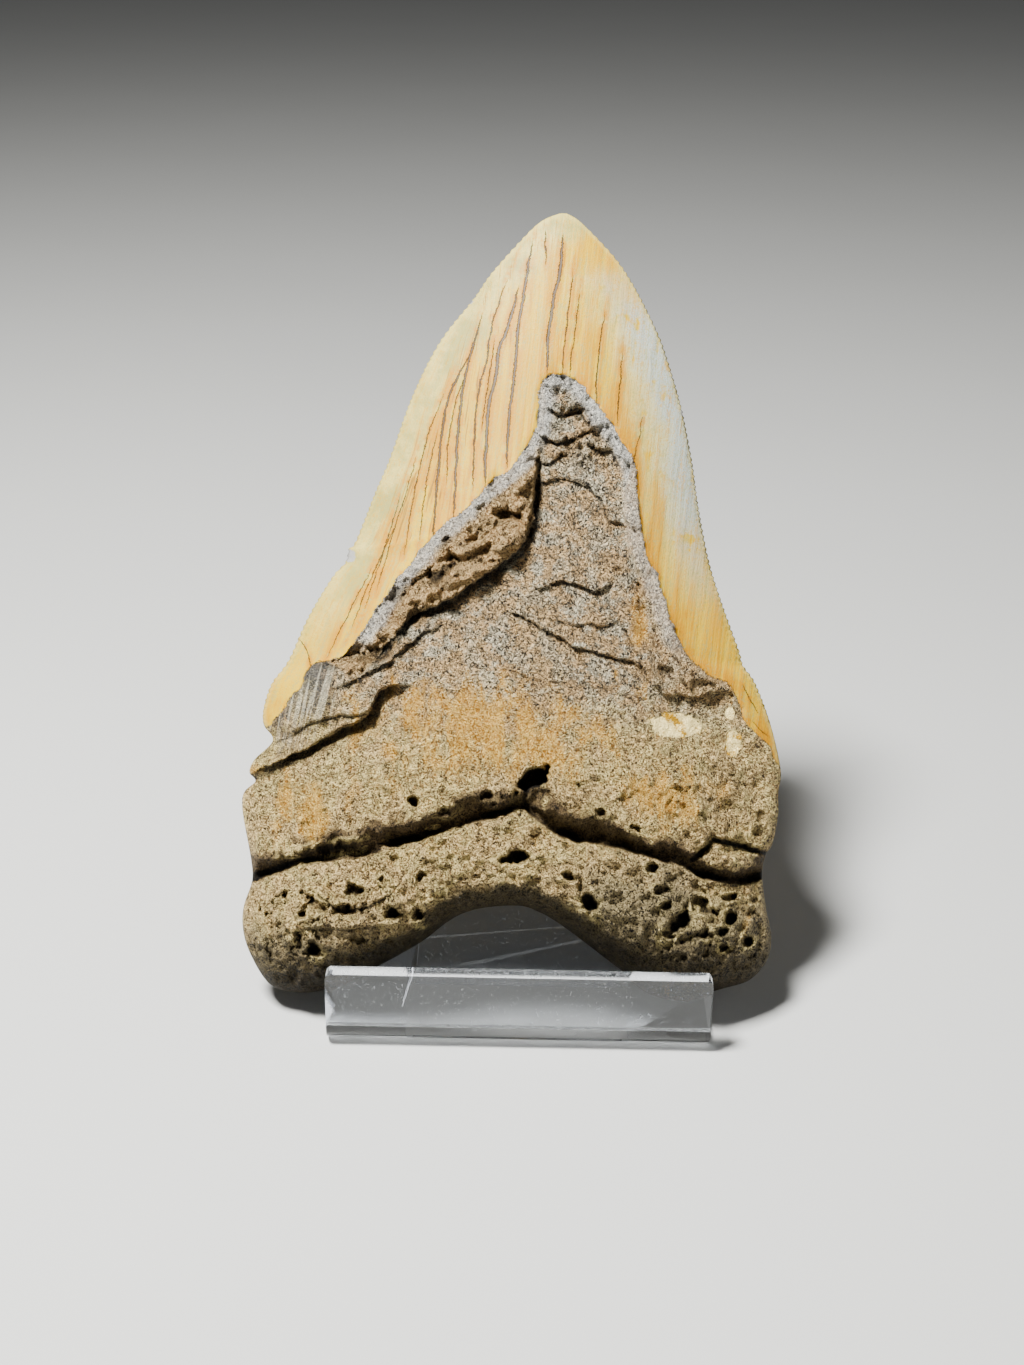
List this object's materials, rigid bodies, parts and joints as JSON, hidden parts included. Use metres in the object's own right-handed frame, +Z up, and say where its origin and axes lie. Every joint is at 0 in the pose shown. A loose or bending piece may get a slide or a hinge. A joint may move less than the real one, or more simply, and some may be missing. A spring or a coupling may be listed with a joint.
{
  "type": "megalodon tooth on acrylic stand",
  "caption": "Large fossil shark tooth with cracked cream enamel, bare dark dentine and a rough arched root, leaning in a clear easel of bent acrylic sheet",
  "frame": {"origin": "Middle of the part's footprint, on the surface that the stand rests on", "axes": "+Z up, +Y towards the back, +X to the right of someone who faces the tooth"},
  "size_m": [0.1051, 0.1, 0.1411],
  "materials": {
    "fossil": "mineralised tooth: satin cream enamel over matt brown and grey dentine",
    "acrylic": "clear polished sheet with frosted slanted edges on the back rest"
  },
  "bodies": {
    "root": {"megalodon_tooth": "fossil", "acrylic_stand": "acrylic"}
  },
  "joints": []
}
